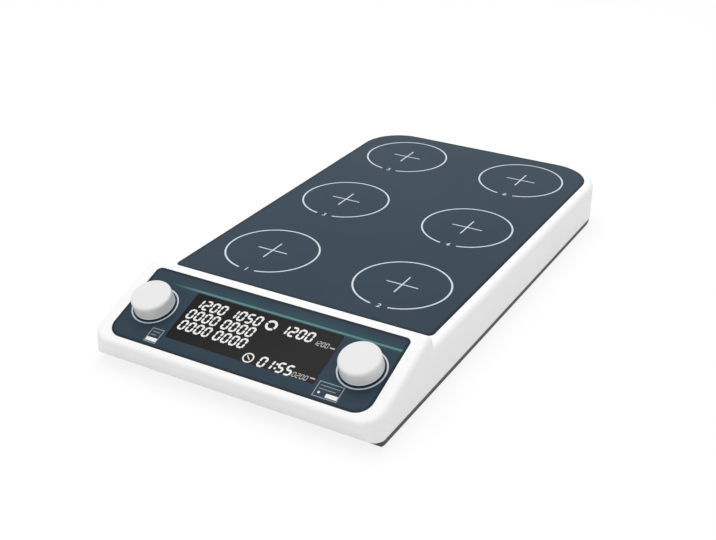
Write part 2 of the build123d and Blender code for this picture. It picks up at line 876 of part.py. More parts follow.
def make_ribbon_cable():
    """Flat lead from the socket under the display board to the control board."""
    start = console.from_local_coords(Vector(0, display_connector_shift, display_low - connector_height))
    down = -console.z_dir
    end = Vector(0, control_socket_y, board_top + connector_height)
    turns = (start + down * lead_run, end + Vector(0, 0, lead_run))
    path = FilletPolyline(start, *turns, end, radius=lead_bend_r)
    strip = Rectangle(connector_width - 2 * lead_margin, lead_thickness)
    return sweep(Plane(origin=start, x_dir=(1, 0, 0), z_dir=down) * strip, path)


def make_case_screws():
    """Flat-head screws through the pan into the bosses of the cover."""
    screws = []
    for x, y in case_points:
        shank = post(x, y, pan_bottom + screw_head_height, pan_bottom + case_screw_length, screw_r)
        screws.append(countersink(x, y, 0) + shank)
    return screws


def make_foot(x, y):
    """Rubber foot with a shallow taper and a recess for its screw."""
    high = pan_bottom + foot_seat
    side = [(foot_r - foot_bevel, 0), (foot_r, foot_bevel), (foot_r - foot_draft, high)]
    foot = turned([(0, 0), *side, (0, high)])
    foot -= post(0, 0, -1, foot_bore_depth, screw_head_r + fit_gap)
    foot -= post(0, 0, -1, high + 1, screw_r + slide_gap)
    return Pos(x, y) * foot


def make_foot_screws():
    """Screws up through the feet into the pan."""
    screws = []
    for x, y in foot_points.values():
        head = post(x, y, foot_bore_depth - screw_head_height, foot_bore_depth, screw_head_r)
        screws.append(head + post(x, y, foot_bore_depth, foot_bore_depth + foot_screw_length, screw_r))
    return screws


def rear_plane(x):
    """Plane on the floor of the bay that faces the rear, with its first axis to the right."""
    return Plane(origin=(x, bay_floor_y, bay_z), x_dir=(-1, 0, 0), z_dir=(0, 1, 0))


def make_power_inlet():
    """Mains inlet: flange with two ears, shroud and a socket with clipped upper corners."""
    flange = fillet(Rectangle(inlet_flange_width, inlet_flange_height).vertices(), bay_r)
    inlet = slab(flange, 0, flange_thickness)
    inlet += slab(Rectangle(inlet_body_width, inlet_body_height), flange_thickness - inlet_body_depth, 0)
    socket = Rectangle(inlet_body_width - 2 * inlet_wall, inlet_body_height - 2 * inlet_wall)
    socket = chamfer(socket.vertices().group_by(Axis.Y)[-1], socket_clip)
    socket = fillet(socket.vertices().group_by(Axis.Y)[0], socket_r)
    inlet -= slab(socket, flange_thickness - inlet_socket_depth, flange_thickness + 1)
    for x, y in pin_points():
        slot = Pos(x, y) * Rectangle(pin_thickness + slide_gap, pin_width + slide_gap)
        inlet -= slab(slot, -inlet_body_depth, 0)
    for side in (-1, 1):
        x = side * inlet_screw_spacing / 2
        inlet -= post(x, 0, -1, flange_thickness + 1, screw_r + slide_gap)
        sink = Cone(screw_r + slide_gap, screw_head_r + slide_gap, screw_head_height)
        inlet -= Pos(x, 0, flange_thickness - screw_head_height / 2) * sink
    return rear_plane(inlet_x) * inlet


def pin_points():
    """Places of the three contacts, with the middle one raised."""
    return [(-pin_spacing / 2, -pin_offset), (pin_spacing / 2, -pin_offset), (0, pin_offset)]


def make_inlet_contacts():
    """Three flat contacts of the inlet."""
    low = flange_thickness - inlet_body_depth - pin_tail
    contacts = []
    for x, y in pin_points():
        blade = Pos(x, y) * slab(Rectangle(pin_thickness, pin_width), low, flange_thickness - pin_recess)
        blade = chamfer(blade.edges().group_by(Axis.Z)[-1], pin_bevel)
        contacts.append(rear_plane(inlet_x) * blade)
    return contacts


def make_inlet_screws():
    """Flat-head screws of the inlet flange."""
    screws = []
    for side in (-1, 1):
        head = Cone(screw_r, screw_head_r, screw_head_height)
        head = Pos(0, 0, flange_thickness - screw_head_height / 2) * head
        low = flange_thickness - inlet_screw_length
        shank = post(0, 0, low, flange_thickness - screw_head_height, screw_r)
        screws.append(rear_plane(inlet_x) * Pos(side * inlet_screw_spacing / 2, 0) * (head + shank))
    return screws


def make_power_switch():
    """Frame of the rocker switch, with holes for the pivot pins of the rocker."""
    flange = fillet(Rectangle(switch_flange_width, switch_flange_height).vertices(), switch_flange_r)
    frame = slab(flange, 0, flange_thickness)
    frame = fillet(frame.edges().group_by(Axis.Z)[-1], switch_edge_r)
    frame += slab(Rectangle(switch_body_width, switch_body_height), flange_thickness - switch_body_depth, 0)
    opening = Rectangle(switch_body_width - 2 * switch_wall, switch_body_height - switch_wall)
    frame -= slab(opening, flange_thickness - switch_body_depth + switch_floor, flange_thickness + 1)
    pivot = Cylinder(rocker_pin_r + slide_gap, switch_body_width, rotation=(0, 90, 0))
    return rear_plane(switch_x) * (frame - pivot)


def make_power_rocker():
    """Rocker with a shallow V face and two pivot pins, at rest with its lower end pressed in."""
    rise = rocker_rise + rocker_half * tan(radians(rocker_angle))
    reach = (rocker_half**2 + rise**2) ** 0.5
    points = [
        (-rocker_half, rise),
        (0, rocker_rise),
        (rocker_half, rise),
        (rocker_foot_half, -rocker_depth),
        (-rocker_foot_half, -rocker_depth),
    ]
    section = Plane.YZ * (make_face(Polyline(*points, close=True)) & Circle(reach))
    half = rocker_width / 2
    body = extrude(Pos(-half, 0, 0) * section, amount=rocker_width, dir=(1, 0, 0))
    pins = Cylinder(rocker_pin_r, rocker_width + 2 * rocker_pin_length, rotation=(0, 90, 0))
    return rear_plane(switch_x) * Rot(rocker_angle, 0, 0) * (body + pins)


def parts():
    """Every node of the stirrer with its solid or solids."""
    made = {
        "top_housing": make_top_housing(),
        "base_pan": make_base_pan(),
        "deck_glass": make_deck_glass(),
        "deck_gasket": make_deck_gasket(),
        "console_overlay": make_console_overlay(),
        "display_window": make_display_window(),
        "lcd_module": make_lcd_module(),
        "display_board": make_display_board(),
        "display_screws": make_display_screws(),
        "motor_plate": make_motor_plate(),
        "plate_standoffs": make_plate_standoffs(),
        "plate_screws": make_plate_screws(),
        "control_board": make_control_board(),
        "power_supply": make_power_supply(),
        "board_standoffs": make_board_standoffs(),
        "board_screws": make_board_screws(),
        "ribbon_cable": make_ribbon_cable(),
        "case_screws": make_case_screws(),
        "foot_screws": make_foot_screws(),
        "power_inlet": make_power_inlet(),
        "inlet_contacts": make_inlet_contacts(),
        "inlet_screws": make_inlet_screws(),
        "power_switch": make_power_switch(),
        "power_rocker": make_power_rocker(),
    }
    for name, (x, y) in foot_points.items():
        made[name] = make_foot(x, y)
    for name, side in sides:
        made[f"encoder_{name}"] = make_encoder(side)
        made[f"encoder_wheel_{name}"] = make_encoder_wheel(side)
        made[f"knob_shaft_{name}"] = make_knob_shaft(side)
        made[f"knob_{name}"] = make_knob(side)
    for i, (x, y) in enumerate(place_points, start=1):
        made[f"motor_{i}"] = make_motor(x, y)
        made[f"rotor_shaft_{i}"] = make_rotor_shaft(x, y)
        made[f"magnet_holder_{i}"] = make_magnet_holder(x, y)
        made[f"magnets_{i}"] = make_magnets(x, y)
    return made


os.makedirs("parts", exist_ok=True)
for node, shape in parts().items():
    solids = shape if isinstance(shape, list) else shape.solids()
    shape = solids[0] if len(solids) == 1 else Compound(children=list(solids))
    export_step(shape, f"parts/{node}.step")
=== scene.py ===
import json
from math import cos, pi, radians, sin, tan

import bmesh
import bpy
from mathutils import Matrix, Vector


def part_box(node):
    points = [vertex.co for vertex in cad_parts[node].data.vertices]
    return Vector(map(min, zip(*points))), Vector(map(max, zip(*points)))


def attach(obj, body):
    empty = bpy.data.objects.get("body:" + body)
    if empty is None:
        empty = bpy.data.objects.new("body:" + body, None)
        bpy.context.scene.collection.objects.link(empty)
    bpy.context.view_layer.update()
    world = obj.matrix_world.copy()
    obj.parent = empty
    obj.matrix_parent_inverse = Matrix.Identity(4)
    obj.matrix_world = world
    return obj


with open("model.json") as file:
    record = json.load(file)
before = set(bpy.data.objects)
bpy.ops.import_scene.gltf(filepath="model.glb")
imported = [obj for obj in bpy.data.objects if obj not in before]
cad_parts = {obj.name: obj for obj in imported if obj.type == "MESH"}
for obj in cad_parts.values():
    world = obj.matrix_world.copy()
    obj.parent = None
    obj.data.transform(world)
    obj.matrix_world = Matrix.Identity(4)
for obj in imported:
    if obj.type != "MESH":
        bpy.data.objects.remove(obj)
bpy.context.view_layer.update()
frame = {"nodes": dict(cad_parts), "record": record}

# Multi-position magnetic stirrer: looks, prints, light and camera. Metres, in the frame of the CAD.

mm = 0.001
print_height = 0.03 * mm

# The deck glass and the printed sheet of the console, where the frame puts them
deck_low, deck_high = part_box("deck_glass")
deck_front_r = 5.3 * mm
deck_rear_r = 39.2 * mm
sheet_low, sheet_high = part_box("console_overlay")
sheet_width = sheet_high.x - sheet_low.x
sheet_length = 74.2 * mm
sheet_thickness = 0.8 * mm
sheet_front_r = 13 * mm
sheet_rear_r = 5 * mm
console_tilt = radians(20.15)
across = Vector((1, 0, 0))
uphill = Vector((0, cos(console_tilt), sin(console_tilt)))
outward = Vector((0, -sin(console_tilt), cos(console_tilt)))
console_middle = (sheet_low + sheet_high) / 2 + outward * sheet_thickness / 2

# Colours, as linear values
white_moulding = (0.86, 0.86, 0.86, 1)
# The knob's white is darker than the moulding's as painted shade on its sides, and its foot rim is a painted
# highlight
knob_shaded_white = (0.72, 0.72, 0.72, 1)
knob_foot_highlight = (0.95, 0.95, 0.95, 1)
slate = (0.024, 0.043, 0.062, 1)
slate_edge = (0.014, 0.023, 0.032, 1)
teal = (0.10, 0.215, 0.22, 1)
teal_glow = (0.024, 0.075, 0.085, 1)
# The lens's lighter colour is painted shading across it
window_dark = (0.010, 0.010, 0.011, 1)
window_painted_light = (0.022, 0.021, 0.021, 1)
segment_white = (0.95, 0.95, 0.93, 1)
segment_grey = (0.1, 0.1, 0.1, 1)
board_green = (0.01, 0.09, 0.035, 1)
track_green = (0.02, 0.14, 0.055, 1)
pale_print = (0.60, 0.66, 0.72, 1)
faint_print = (0.27, 0.32, 0.35, 1)
bright_print = (0.78, 0.80, 0.80, 1)

# Values of a noise between which a ramp takes its whole step
cloud_range = (0.3, 0.7)
fine_range = (0.2, 0.8)
lit_range = (0.25, 0.75)


class Shader:
    """A new material and short ways to add nodes to it."""

    def __init__(self, name):
        self.material = bpy.data.materials.new(name)
        self.material.use_nodes = True
        self.tree = self.material.node_tree
        self.surface = self.tree.nodes["Principled BSDF"]
        self.place = self.tree.nodes.new("ShaderNodeTexCoord").outputs["Object"]

    def put(self, socket, value):
        """Links a socket to another one, or sets its value."""
        if isinstance(value, bpy.types.NodeSocket):
            self.tree.links.new(value, socket)
        else:
            socket.default_value = value

    def set(self, **values):
        """Sets inputs of the surface, with underscores for spaces."""
        for name, value in values.items():
            self.put(self.surface.inputs[name.replace("_", " ")], value)

    def math(self, operation, first, second=0.0):
        """One number worked out from one or two."""
        node = self.tree.nodes.new("ShaderNodeMath")
        node.operation = operation
        self.put(node.inputs[0], first)
        self.put(node.inputs[1], second)
        return node.outputs[0]

    def vector(self, operation, first, second):
        """One vector or number worked out from two vectors."""
        node = self.tree.nodes.new("ShaderNodeVectorMath")
        node.operation = operation
        self.put(node.inputs[0], first)
        self.put(node.inputs[1], second)
        return node.outputs["Value" if operation == "DOT_PRODUCT" else "Vector"]

    def split(self, vector):
        """The three parts of a vector."""
        node = self.tree.nodes.new("ShaderNodeSeparateXYZ")
        self.put(node.inputs[0], vector)
        return node.outputs

    def on_console(self, axis):
        """How far the place lies from the middle of the console along a direction."""
        offset = self.vector("SUBTRACT", self.place, console_middle)
        return self.vector("DOT_PRODUCT", offset, axis)

    def ramp(self, value, low, high, out_low=0.0, out_high=1.0):
        """A smooth step of a value between two limits."""
        node = self.tree.nodes.new("ShaderNodeMapRange")
        node.interpolation_type = "SMOOTHSTEP"
        self.put(node.inputs["Value"], value)
        self.put(node.inputs["From Min"], low)
        self.put(node.inputs["From Max"], high)
        self.put(node.inputs["To Min"], out_low)
        self.put(node.inputs["To Max"], out_high)
        return node.outputs["Result"]

    def stripe(self, value, start, full, ebb, end):
        """A smooth stripe of a value: 1 between full and ebb, and 0 before the start and after the end."""
        return self.math("MULTIPLY", self.ramp(value, start, full), self.ramp(value, end, ebb))

    def mix(self, share, first, second):
        """Two colours mixed by a share."""
        node = self.tree.nodes.new("ShaderNodeMix")
        node.data_type = "RGBA"
        self.put(node.inputs["Factor"], share)
        self.put(node.inputs["A"], first)
        self.put(node.inputs["B"], second)
        return node.outputs["Result"]

    def noise(self, size, detail=2.0, stretch=(1, 1, 1)):
        """Noise from 0 to 1 in grains of about a size, longer along an axis where stretch is over 1."""
        node = self.tree.nodes.new("ShaderNodeTexNoise")
        node.inputs["Scale"].default_value = 1 / size
        node.inputs["Detail"].default_value = detail
        narrow = tuple(1 / s for s in stretch)
        self.put(node.inputs["Vector"], self.vector("MULTIPLY", self.place, narrow))
        return node.outputs["Fac"]

    def cloudy(self, colour, size, lift):
        """A colour with soft clouds of about a size that are lighter by a share."""
        lighter = tuple(c * (1 + lift) for c in colour[:3]) + (1,)
        return self.mix(self.ramp(self.noise(size), *cloud_range), colour, lighter)

    def bump(self, height, depth):
        """Fine relief of the surface from a height between 0 and 1."""
        node = self.tree.nodes.new("ShaderNodeBump")
        node.inputs["Distance"].default_value = depth
        self.put(node.inputs["Height"], height)
        self.put(self.surface.inputs["Normal"], node.outputs["Normal"])

    def satin(self, rough, grain, relief, detail=2.0, stretch=(1, 1, 1)):
        """A fine grain that varies the gloss between two roughnesses and lies in relief."""
        fine = self.noise(grain, detail, stretch)
        self.set(Roughness=self.ramp(fine, *fine_range, *rough))
        self.bump(fine, relief)


# Plain materials: size of the clouds in their colour, detail of their noise, and unevenness of their gloss
plain_cloud = 18 * mm
plain_detail = 3.0
unevenness = 0.1


def plain(name, colour, roughness, grain, relief, variation, metallic=0.0, specular=0.5, stretch=(1, 1, 1)):
    """A surface with a fine grain, a slight cloudy change of colour and uneven gloss."""
    shader = Shader(name)
    darker = tuple(c * (1 - variation) for c in colour[:3]) + (1,)
    cloud = shader.noise(plain_cloud, plain_detail)
    shader.set(Base_Color=shader.mix(cloud, darker, colour), Metallic=metallic, Specular_IOR_Level=specular)
    rough = (roughness * (1 - unevenness), roughness * (1 + unevenness))
    shader.satin(rough, grain, relief, plain_detail, stretch)
    return shader.material


def metal(name, colour, roughness, grain, relief, variation, stretch=(1, 1, 1)):
    """A bare metal surface."""
    return plain(name, colour, roughness, grain, relief, variation, metallic=1.0, stretch=stretch)


def ink(name, colour, variation):
    """The matte surface of a print."""
    return plain(name, colour, 0.5, 0.3 * mm, 0.004 * mm, variation, specular=0.2)


def rounded_distance(shader, x, y, half_x, half_y, front_r, rear_r):
    """Distance to a rectangle with rounded corners, negative inside it."""
    radius = shader.ramp(y, -mm, mm, front_r, rear_r)
    over_x = shader.math("ADD", shader.math("SUBTRACT", shader.math("ABSOLUTE", x), half_x), radius)
    over_y = shader.math("ADD", shader.math("SUBTRACT", shader.math("ABSOLUTE", y), half_y), radius)
    out_x = shader.math("MAXIMUM", over_x, 0.0)
    out_y = shader.math("MAXIMUM", over_y, 0.0)
    squares = shader.math("ADD", shader.math("MULTIPLY", out_x, out_x), shader.math("MULTIPLY", out_y, out_y))
    outside = shader.math("SQRT", squares)
    inside = shader.math("MINIMUM", shader.math("MAXIMUM", over_x, over_y), 0.0)
    return shader.math("SUBTRACT", shader.math("ADD", outside, inside), radius)


# The darker edge of the deck and of the sheet sets in between two distances from the outline, negative inside
deck_edge = (-4 * mm, -0.5 * mm)
sheet_edge = (-3.2 * mm, -1.0 * mm)

# The teal line and the glow round it, down from the top edge of the sheet and across from its middle
line_stripe = (11.2 * mm, 11.9 * mm, 13.0 * mm, 13.7 * mm)
line_fade = (-97 * mm, -60 * mm)
glow_stripe = (3 * mm, 11 * mm, 13 * mm, 17 * mm)
glow_fade = (-110 * mm, -20 * mm)
glow_shares = (0.1, 0.6)

# The window's painted shading from dark to light, towards its lower right
window_painted_shading = (-60 * mm, 70 * mm)

# Heights above the sheet between which a knob's white changes to the painted highlight round its foot
knob_highlight_fade = (2.4 * mm, 1.9 * mm)

# Tracks of a circuit board: scale and bend of their waves, and the values of a wave at a track's edges
track_scale = 90
track_distortion = 6
track_range = (0.45, 0.55)


def deck_material():
    """Dark printed glass: slate with a darker band along its edge and a fine satin surface."""
    shader = Shader("deck_glass_print")
    x, y, _ = shader.split(shader.vector("SUBTRACT", shader.place, (deck_low + deck_high) / 2))
    half = (deck_high - deck_low) / 2
    distance = rounded_distance(shader, x, y, half.x, half.y, deck_front_r, deck_rear_r)
    body = shader.cloudy(slate, size=60 * mm, lift=0.10)
    edge = shader.ramp(distance, *deck_edge)
    shader.set(Base_Color=shader.mix(edge, body, slate_edge), Specular_IOR_Level=0.05)
    shader.satin(rough=(0.36, 0.44), grain=0.5 * mm, relief=0.002 * mm)
    return shader.material


def overlay_material():
    """Printed film: slate, a dark border, a teal line that fades in and a soft teal glow round it."""
    shader = Shader("overlay_print")
    u = shader.on_console(across)
    w = shader.on_console(uphill)
    down = shader.math("SUBTRACT", sheet_length / 2, w)
    distance = rounded_distance(shader, u, w, sheet_width / 2, sheet_length / 2, sheet_front_r, sheet_rear_r)
    line = shader.math("MULTIPLY", shader.stripe(down, *line_stripe), shader.ramp(u, *line_fade))
    glow_share = shader.ramp(u, *glow_fade, *glow_shares)
    glow = shader.math("MULTIPLY", shader.stripe(down, *glow_stripe), glow_share)
    body = shader.cloudy(slate, size=30 * mm, lift=0.12)
    body = shader.mix(glow, body, teal_glow)
    body = shader.mix(line, body, teal)
    edge = shader.ramp(distance, *sheet_edge)
    shader.set(Base_Color=shader.mix(edge, body, slate_edge), Specular_IOR_Level=0.06)
    shader.satin(rough=(0.38, 0.46), grain=0.4 * mm, relief=0.003 * mm)
    return shader.material


def window_material():
    """Smoked lens over the display: near black, with painted shading that grows a little lighter towards the
    lower right.
    """
    shader = Shader("smoked_window")
    lean = shader.math("SUBTRACT", shader.on_console(across), shader.on_console(uphill))
    light = shader.ramp(lean, *window_painted_shading)
    shader.set(Base_Color=shader.mix(light, window_dark, window_painted_light), Specular_IOR_Level=0.03)
    shader.satin(rough=(0.16, 0.22), grain=6 * mm, relief=0.001 * mm, detail=1.0)
    return shader.material


def knob_material():
    """White moulding, darkened all over as painted shade on its sides, with a painted highlight round its
    foot.
    """
    shader = Shader("knob_moulding")
    foot_highlight = shader.ramp(shader.on_console(outward), *knob_highlight_fade)
    shader.set(Base_Color=shader.mix(foot_highlight, knob_shaded_white, knob_foot_highlight), Specular_IOR_Level=0.35)
    shader.satin(rough=(0.38, 0.46), grain=0.3 * mm, relief=0.003 * mm, detail=3.0)
    return shader.material


def lit_material(name, level):
    """A lit part of the display, up to a level of light and a little uneven."""
    shader = Shader(name)
    fine = shader.noise(1.2 * mm, detail=1.0)
    shader.set(Base_Color=segment_grey, Specular_IOR_Level=0.1, Roughness=0.4)
    shader.set(Emission_Strength=shader.ramp(fine, *lit_range, level * (1 - unevenness), level))
    shader.set(Emission_Color=segment_white)
    return shader.material


def circuit_material():
    """Green circuit board with faint tracks under its lacquer."""
    shader = Shader("circuit_board")
    wave = shader.tree.nodes.new("ShaderNodeTexWave")
    wave.inputs["Scale"].default_value = track_scale
    wave.inputs["Distortion"].default_value = track_distortion
    shader.put(wave.inputs["Vector"], shader.place)
    tracks = shader.ramp(wave.outputs["Fac"], *track_range)
    shader.set(Base_Color=shader.mix(tracks, board_green, track_green), Roughness=0.35)
    shader.bump(tracks, 0.02 * mm)
    return shader.material


# Stretch of the grain along the three axes
brushed = (12, 1, 1)
ribbed = (1, 20, 20)


def make_materials():
    """Every material by name. Numbers: roughness, size of the grain, its depth, and the change of colour."""
    return {
        "cover": plain("white_moulding", white_moulding, 0.48, 0.35 * mm, 0.004 * mm, 0.012, specular=0.35),
        "pan": plain("dark_powder_coat", (0.052, 0.052, 0.054, 1), 0.6, 0.3 * mm, 0.02 * mm, 0.15),
        "deck": deck_material(),
        "overlay": overlay_material(),
        "window": window_material(),
        "knob": knob_material(),
        "seal": plain("black_seal", (0.02, 0.02, 0.02, 1), 0.7, 0.4 * mm, 0.02 * mm, 0.2),
        "display": plain("display_module", (0.03, 0.03, 0.035, 1), 0.3, 0.8 * mm, 0.002 * mm, 0.2),
        "circuit": circuit_material(),
        "plate": metal("brushed_sheet", (0.72, 0.73, 0.75, 1), 0.35, 0.15 * mm, 0.004 * mm, 0.08, brushed),
        "steel": metal("zinc_steel", (0.58, 0.58, 0.60, 1), 0.32, 0.2 * mm, 0.004 * mm, 0.12),
        "motor": metal("drawn_can", (0.42, 0.42, 0.44, 1), 0.38, 0.3 * mm, 0.004 * mm, 0.12),
        "carrier": plain("black_moulding", (0.02, 0.02, 0.022, 1), 0.5, 0.3 * mm, 0.01 * mm, 0.15),
        "magnet": metal("nickel", (0.70, 0.69, 0.66, 1), 0.18, 0.5 * mm, 0.001 * mm, 0.05),
        "foot": plain("foot_rubber", (0.018, 0.018, 0.018, 1), 0.8, 0.5 * mm, 0.03 * mm, 0.25),
        "inlet": plain("inlet_moulding", (0.018, 0.018, 0.019, 1), 0.45, 0.25 * mm, 0.006 * mm, 0.12),
        "contact": metal("plated_contact", (0.66, 0.60, 0.42, 1), 0.25, 0.4 * mm, 0.002 * mm, 0.1),
        "lead": plain("grey_lead", (0.30, 0.30, 0.31, 1), 0.5, 0.9 * mm, 0.03 * mm, 0.12, stretch=ribbed),
        "print": ink("pale_print", pale_print, 0.08),
        "faint_print": ink("faint_print", faint_print, 0.1),
        "bright_print": ink("bright_print", bright_print, 0.04),
        "lit": lit_material("lit_segments", 0.82),
        "dim": lit_material("dim_segments", 0.42),
    }


def dress_nodes():
    """Gives every CAD node the material of its slot in the record."""
    for entry in frame["record"]["subparts"]:
        node = frame["nodes"][entry["node"]]
        node.data.materials.clear()
        node.data.materials.append(materials[entry["material_slot"]])


# Straight pieces in an arc: of a ring on the deck, of half a ring elsewhere, of the arrow and of a corner
place_steps = 96
ring_steps = 48
arrow_steps = 36
corner_steps = 6


def arc(middle, radius, start, end, steps):
    """Points along an arc between two angles in radians."""
    turns = [start + (end - start) * i / steps for i in range(steps + 1)]
    return [(middle[0] + radius * cos(t), middle[1] + radius * sin(t)) for t in turns]


def band(middle, outer, stroke, start, end, steps):
    """Outline of a strip bent round an arc."""
    return arc(middle, outer, start, end, steps) + arc(middle, outer - stroke, end, start, steps)


def whole_ring(middle, outer, stroke):
    """A closed ring as two half strips."""
    return [band(middle, outer, stroke, start, start + pi, ring_steps) for start in (0, pi)]


def bar(start, end, stroke):
    """Outline of a straight stroke with square ends."""
    a, b = Vector(start), Vector(end)
    side = (b - a).normalized().orthogonal() * stroke / 2
    return [tuple(a + side), tuple(a - side), tuple(b - side), tuple(b + side)]


def rounded_box(middle, width, length, radius):
    """Outline of a rectangle with rounded corners."""
    points = []
    for i, (sx, sy) in enumerate(((1, 1), (-1, 1), (-1, -1), (1, -1))):
        corner = (middle[0] + sx * (width / 2 - radius), middle[1] + sy * (length / 2 - radius))
        points += arc(corner, radius, i * pi / 2, (i + 1) * pi / 2, corner_steps)
    return points


def deck_place(x, y):
    """A point on top of the deck."""
    return Vector((x, y, deck_high.z))


def console_place(u, w):
    """A point on the console, across and uphill from its middle."""
    return console_middle + across * u + uphill * w


def console_point(u, down):
    """The outline point across from the middle of the sheet and down from its top edge."""
    return (u, sheet_length / 2 - down)


def box_lines(left, right, top, foot, stroke):
    """The four sides of a box on the console, as strokes that meet without crossing."""
    half = stroke / 2
    sides = [(console_point(left, down), console_point(right, down)) for down in (top, foot)]
    for u in (left + half, right - half):
        sides.append((console_point(u, top + half), console_point(u, foot - half)))
    return [bar(start, end, stroke) for start, end in sides]


def printed(name, outlines, place, normal, material, body="body"):
    """A thin raised print made of flat outlines on a surface."""
    mesh = bpy.data.meshes.new(name)
    form = bmesh.new()
    for outline in outlines:
        low = [form.verts.new(place(u, w)) for u, w in outline]
        high = [form.verts.new(v.co + normal * print_height) for v in low]
        form.faces.new(high)
        form.faces.new(list(reversed(low)))
        for i in range(len(low)):
            j = (i + 1) % len(low)
            form.faces.new((low[i], low[j], high[j], high[i]))
    bmesh.ops.recalc_face_normals(form, faces=form.faces)
    form.to_mesh(mesh)
    form.free()
    piece = bpy.data.objects.new(name, mesh)
    bpy.context.scene.collection.objects.link(piece)
    mesh.materials.append(materials[material])
    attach(piece, body)


# Height of a number as a share of the font's size, and how much its strokes are widened to each side
number_share = 0.69
number_spread = 0.05 * mm


def printed_number(name, text, height, place):
    """A plain number as a thin raised print, centred on a place of the deck."""
    curve = bpy.data.curves.new(name + "_text", "FONT")
    curve.body = text
    curve.size = height / number_share
    curve.align_x = "CENTER"
    curve.align_y = "CENTER"
    curve.offset = number_spread
    curve.extrude = print_height / 2
    source = bpy.data.objects.new(name + "_text", curve)
    bpy.context.scene.collection.objects.link(source)
    mesh = bpy.data.meshes.new_from_object(source)
    bpy.data.objects.remove(source)
    mesh.transform(Matrix.Translation(place + Vector((0, 0, print_height / 2))))
    piece = bpy.data.objects.new(name, mesh)
    bpy.context.scene.collection.objects.link(piece)
    mesh.materials.clear()
    mesh.materials.append(materials["print"])
    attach(piece, "body")


# Printed places of the deck: each ring is open in front, by an angle to each side, where its number stands
ring_r = 40 * mm
ring_stroke = 1.5 * mm
ring_gap = radians(11)
cross_reach = 14.3 * mm
cross_stroke = 1.2 * mm
number_height = 5.4 * mm
number_out = 39.5 * mm


def make_places():
    """A broken ring, a cross and a number over each of the six magnet holders."""
    outer = ring_r + ring_stroke / 2
    for i in range(1, 7):
        low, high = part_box(f"magnet_holder_{i}")
        x, y = (low.x + high.x) / 2, (low.y + high.y) / 2
        marks = [band((x, y), outer, ring_stroke, ring_gap - pi / 2, 1.5 * pi - ring_gap, place_steps)]
        marks.append(bar((x - cross_reach, y), (x + cross_reach, y), cross_stroke))
        for side in (-1, 1):
            start = (x, y + side * cross_stroke / 2)
            marks.append(bar(start, (x, y + side * cross_reach), cross_stroke))
        printed(f"place_print_{i}", marks, deck_place, Vector((0, 0, 1)), "print")
        printed_number(f"place_number_{i}", str(i), number_height, deck_place(x, y - number_out))


# Segments of a display digit, as strokes between corners of a box one unit wide and one unit high
corners = {
    "a": ((0, 1), (1, 1)), "b": ((1, 1), (1, 0.5)), "c": ((1, 0.5), (1, 0)), "d": ((1, 0), (0, 0)),
    "e": ((0, 0), (0, 0.5)), "f": ((0, 0.5), (0, 1)), "g": ((0, 0.5), (1, 0.5)),
}
lit_segments = {"0": "abcdef", "1": "bc", "2": "abged", "5": "afgcd"}
digit_slant = radians(8)

# Gap at the end of a segment, as a share of its stroke
segment_gap = 0.04

# Distance of a colon's dots from its middle, as a share of the digits' height
colon_rise = 0.2


def digit(character, middle, width, height, stroke):
    """The strokes of one digit, each with pointed ends, leaning to the right."""
    outlines = []
    for name in lit_segments[character]:
        ends = []
        for cx, cy in corners[name]:
            ends.append(Vector(((cx - 0.5) * (width - stroke), (cy - 0.5) * (height - stroke))))
        along = (ends[1] - ends[0]).normalized()
        side = Vector((-along.y, along.x)) * stroke / 2
        shoulder = along * stroke / 2
        first = ends[0] + along * segment_gap * stroke
        last = ends[1] - along * segment_gap * stroke
        points = [first, first + shoulder + side, last - shoulder + side]
        points += [last, last - shoulder - side, first + shoulder - side]
        outlines.append([(middle[0] + p.x + p.y * sin(digit_slant), middle[1] + p.y) for p in points])
    return outlines


def reading(name, text, centres, top, height, width, stroke, material):
    """A row of digits, centred at places across, with their top at a distance down the console."""
    middle = sheet_length / 2 - top - height / 2
    outlines = []
    for character, u in zip(text, centres):
        if character == ":":
            for side in (-1, 1):
                dot = middle + side * height * colon_rise
                outlines.append(bar((u - stroke / 2, dot), (u + stroke / 2, dot), stroke))
        else:
            outlines += digit(character, (u, middle), width, height, stroke)
    printed(name, outlines, console_place, outward, material)


def four_places(first, pitch):
    """Centres of four digits in a row, from the first one."""
    return [first + pitch * i for i in range(4)]


# Height, width and stroke of the digits, and the distance between their centres
large_digit = (10.1 * mm, 6.2 * mm, 1.65 * mm)
large_pitch = 7.4 * mm
small_digit = (4.6 * mm, 2.7 * mm, 0.6 * mm)
small_pitch = 3.3 * mm

# Readings: centre of the first digit across from the middle of the sheet, and tops down from its top edge
speed_left = -58.9 * mm
speed_right = -26.4 * mm
speed_rows = (("1200", "1050", 18.5 * mm), ("0000", "0000", 30 * mm), ("0000", "0000", 41.6 * mm))
set_speed_left = 19.6 * mm
set_speed_top = 18.9 * mm
set_time_places = (20 * mm, 26.2 * mm, 31.8 * mm, 35.8 * mm, 43 * mm)
set_time_top = 51.9 * mm
small_left = 48.2 * mm
speed_limit_top = 24.8 * mm
time_limit_top = 56.6 * mm


def make_readings():
    """The six speeds in three rows, the set speed and the set time, and a small reading beside these two."""
    for row, (first, second, top) in enumerate(speed_rows, start=1):
        reading(f"speed_left_{row}", first, four_places(speed_left, large_pitch), top, *large_digit, "lit")
        reading(f"speed_right_{row}", second, four_places(speed_right, large_pitch), top, *large_digit, "lit")
    places = four_places(set_speed_left, large_pitch)
    reading("set_speed", "1200", places, set_speed_top, *large_digit, "lit")
    reading("set_time", "01:55", set_time_places, set_time_top, *large_digit, "lit")
    places = four_places(small_left, small_pitch)
    reading("speed_limit", "1200", places, speed_limit_top, *small_digit, "dim")
    reading("time_limit", "0200", places, time_limit_top, *small_digit, "dim")


